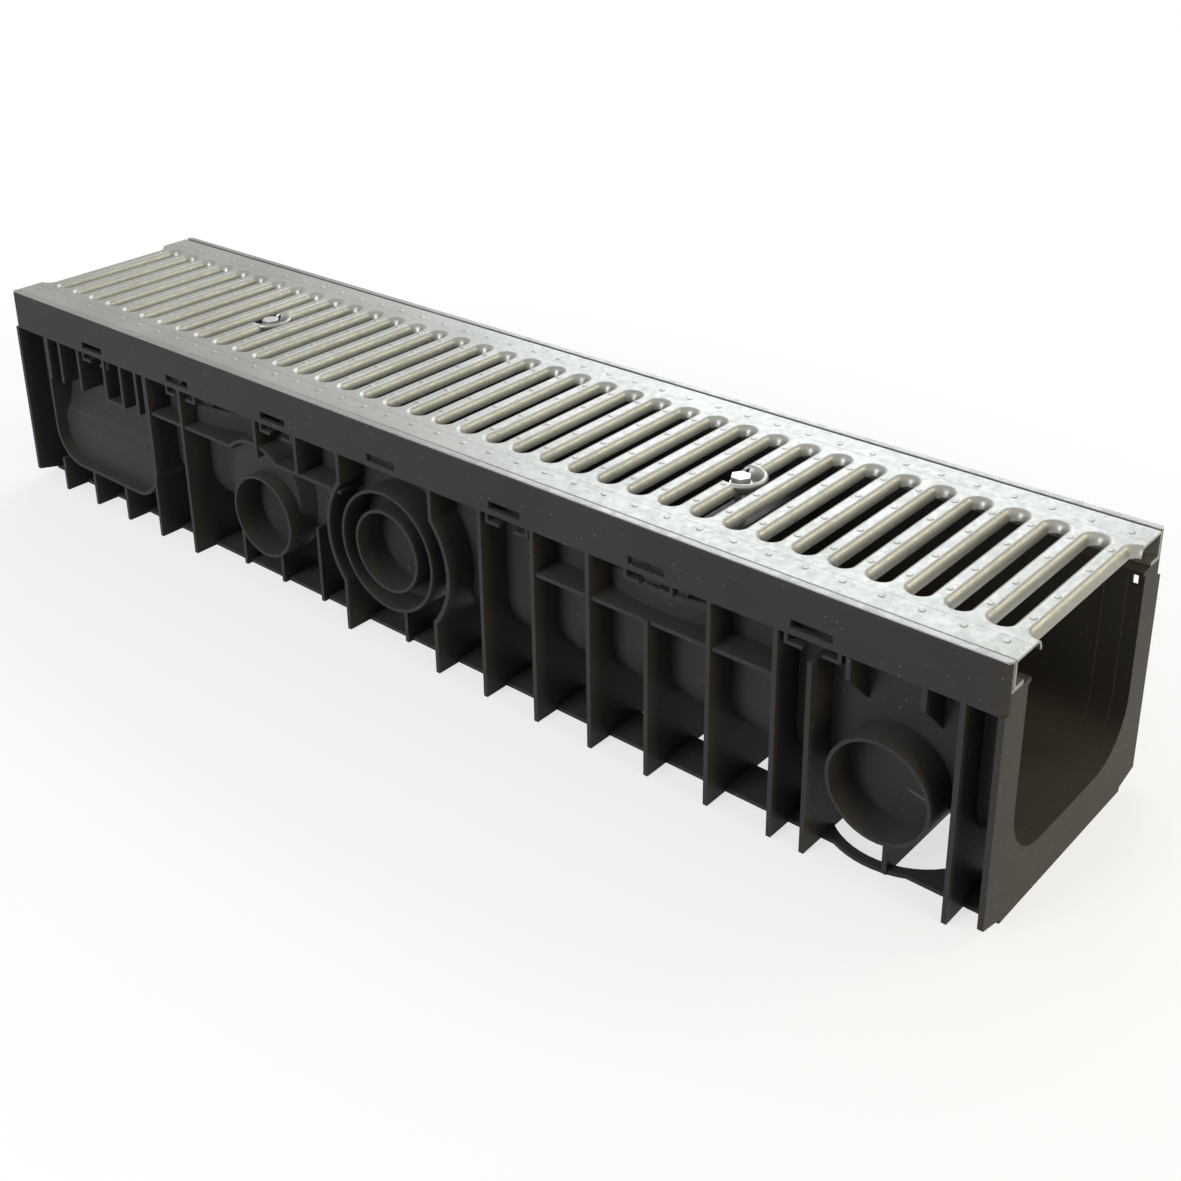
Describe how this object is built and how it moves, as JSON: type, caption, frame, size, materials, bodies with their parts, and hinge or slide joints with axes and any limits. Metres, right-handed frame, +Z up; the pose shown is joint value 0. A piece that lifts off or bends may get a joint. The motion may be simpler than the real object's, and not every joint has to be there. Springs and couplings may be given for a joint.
{
  "type": "channel drain",
  "caption": "Straight ribbed plastic drainage channel with steel edge rails and a slotted steel grating bolted into its top.",
  "frame": {"origin": "middle of the underside, on the plane the channel stands on", "axes": "+X along the channel to its near end in the picture, -Y is the visible side with the pipe stubs, +Z up"},
  "size_m": [1, 0.21, 0.19],
  "materials": {
    "black_plastic": "black moulded plastic, slightly glossy",
    "galvanised_rail": "galvanised sheet",
    "galvanised_grating": "galvanised sheet with spangle",
    "zinc_fastener": "bright zinc plating"
  },
  "bodies": {
    "root": {"channel_body": "black_plastic", "edge_rail_front": "galvanised_rail", "edge_rail_back": "galvanised_rail", "grating": "galvanised_grating", "fixing_bar_near": "zinc_fastener", "fixing_bar_far": "zinc_fastener", "fixing_bolt_near": "zinc_fastener", "fixing_bolt_far": "zinc_fastener", "fixing_washer_near": "zinc_fastener", "fixing_washer_far": "zinc_fastener", "fixing_nut_near": "zinc_fastener", "fixing_nut_far": "zinc_fastener"}
  },
  "joints": []
}
